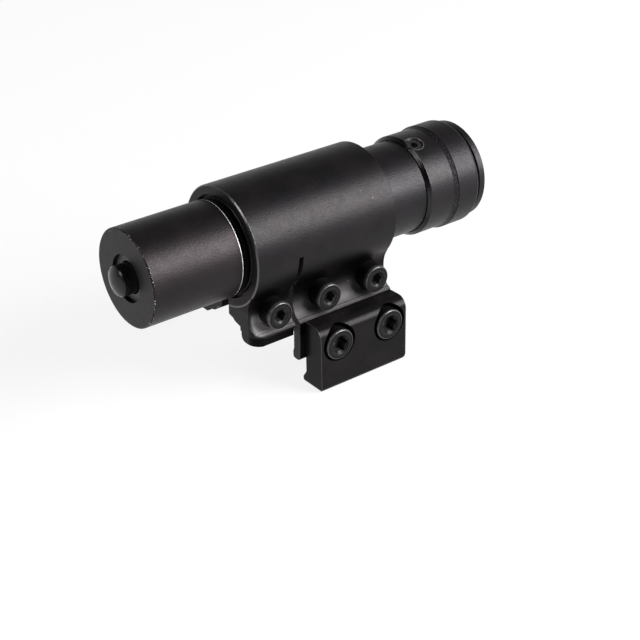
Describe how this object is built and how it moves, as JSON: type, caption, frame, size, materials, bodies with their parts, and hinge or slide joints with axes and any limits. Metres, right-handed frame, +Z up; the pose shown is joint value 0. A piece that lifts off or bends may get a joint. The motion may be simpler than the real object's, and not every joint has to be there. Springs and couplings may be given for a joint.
{
  "type": "laser sight",
  "caption": "Black anodised laser sight: tail cap with push switch, round tube in a split clamp-ring rail mount with a bolt-on hook plate, set-screw beam adjustment and windowed head.",
  "frame": {"origin": "centre of the tail cap's flat end face, on the laser axis", "axes": "+X along the laser axis the way the beam leaves, +Z up away from the rail, -Y the side with the screw heads and hook plate"},
  "size_m": [0.1024, 0.0351, 0.0519],
  "materials": {
    "mount_black": "satin black anodised, slightly warm",
    "plate_black": "semi-gloss black anodised",
    "tube_black": "satin black anodised",
    "cap_black": "satin black anodised, warm brown-purple sheen",
    "head_black": "satin black anodised",
    "black_oxide": "black oxide on alloy steel",
    "button_plastic": "satin black",
    "seal_rubber": "matt black nitrile",
    "spring_steel": "bright drawn wire",
    "inner_plastic": "moulded black insulating plastic",
    "contact_brass": "bright machined",
    "module_brass": "turned",
    "cell_wrap": "plain shrink wrap",
    "board_green": "solder mask",
    "lens_glass": "clear",
    "window_glass": "coated flat window"
  },
  "bodies": {
    "mount": {"mount_body": "mount_black", "body_tube": "tube_black", "tail_o_ring": "seal_rubber", "contact_insulator": "inner_plastic", "adjuster_head": "head_black", "return_spring": "spring_steel", "front_bezel": "head_black", "front_window": "window_glass", "window_o_ring": "seal_rubber", "front_ring": "head_black"},
    "tail_cap": {"tail_cap": "cap_black", "switch_housing": "inner_plastic", "switch_contact": "contact_brass", "switch_retainer": "contact_brass", "tail_spring": "spring_steel", "button_spring": "spring_steel"},
    "button": {"push_button": "button_plastic"},
    "battery": {"battery": "cell_wrap"},
    "pivot": {"pivot_o_ring": "seal_rubber"},
    "module": {"module_housing": "module_brass", "diode_holder": "module_brass", "laser_diode": "contact_brass", "lens_spring": "spring_steel", "lens_barrel": "module_brass", "collimating_lens": "lens_glass", "lens_retainer": "module_brass", "driver_board": "board_green", "driver_parts": "inner_plastic", "driver_spring": "spring_steel"},
    "elevation_screw": {"elevation_screw": "black_oxide"},
    "windage_screw": {"windage_screw": "black_oxide"},
    "ring_screw_rear": {"ring_screw_rear": "black_oxide"},
    "ring_screw_middle": {"ring_screw_middle": "black_oxide"},
    "ring_screw_front": {"ring_screw_front": "black_oxide"},
    "hook_plate": {"hook_plate": "plate_black"},
    "rail_screw_rear": {"rail_screw_rear": "black_oxide"},
    "rail_screw_front": {"rail_screw_front": "black_oxide"}
  },
  "joints": [
    {"name": "tail_cap_slide", "type": "slide", "parent": "mount", "child": "tail_cap", "axis": [-1, 0, 0], "range_m": [0, 0.03]},
    {"name": "battery_slide", "type": "slide", "parent": "mount", "child": "battery", "axis": [-1, 0, 0], "range_m": [0, 0.015]},
    {"name": "button_press", "type": "slide", "parent": "tail_cap", "child": "button", "axis": [1, 0, 0], "range_m": [0, 0.0016], "stiffness_N_per_m": 600, "springref_m": -0.002, "deforming": ["button_spring"]},
    {"name": "elevation_turn", "type": "hinge", "parent": "mount", "child": "elevation_screw", "pos_m": [0.0823, 0, 0], "axis": [0, -0.2756, 0.9613], "range_deg": [-180, 180]},
    {"name": "windage_turn", "type": "hinge", "parent": "mount", "child": "windage_screw", "pos_m": [0.0823, 0, 0], "axis": [0, 0.9613, 0.2756], "range_deg": [-180, 180]},
    {"name": "elevation_tilt", "type": "hinge", "parent": "mount", "child": "pivot", "pos_m": [0.0665, 0, 0], "axis": [0, 0.9613, 0.2756], "range_deg": [-1.26, 1.26]},
    {"name": "windage_tilt", "type": "hinge", "parent": "pivot", "child": "module", "pos_m": [0.0665, 0, 0], "axis": [0, -0.2756, 0.9613], "range_deg": [-1.26, 1.26]},
    {"name": "ring_screw_rear_out", "type": "slide", "parent": "mount", "child": "ring_screw_rear", "axis": [0, -1, 0], "range_m": [0, 0.004]},
    {"name": "ring_screw_middle_out", "type": "slide", "parent": "mount", "child": "ring_screw_middle", "axis": [0, -1, 0], "range_m": [0, 0.004]},
    {"name": "ring_screw_front_out", "type": "slide", "parent": "mount", "child": "ring_screw_front", "axis": [0, -1, 0], "range_m": [0, 0.004]},
    {"name": "hook_plate_slide", "type": "slide", "parent": "mount", "child": "hook_plate", "axis": [0, -1, 0], "range_m": [0, 0.002]},
    {"name": "rail_screw_rear_out", "type": "slide", "parent": "mount", "child": "rail_screw_rear", "axis": [0, -1, 0], "range_m": [0, 0.002]},
    {"name": "rail_screw_front_out", "type": "slide", "parent": "mount", "child": "rail_screw_front", "axis": [0, -1, 0], "range_m": [0, 0.002]}
  ],
  "couplings": [
    {"joint": "battery_slide", "follows": "tail_cap_slide", "ratio": 0.5},
    {"joint": "elevation_turn", "follows": "elevation_tilt", "ratio": -141.8},
    {"joint": "windage_turn", "follows": "windage_tilt", "ratio": 141.8},
    {"joint": "rail_screw_rear_out", "follows": "hook_plate_slide", "ratio": 1},
    {"joint": "rail_screw_front_out", "follows": "hook_plate_slide", "ratio": 1}
  ]
}
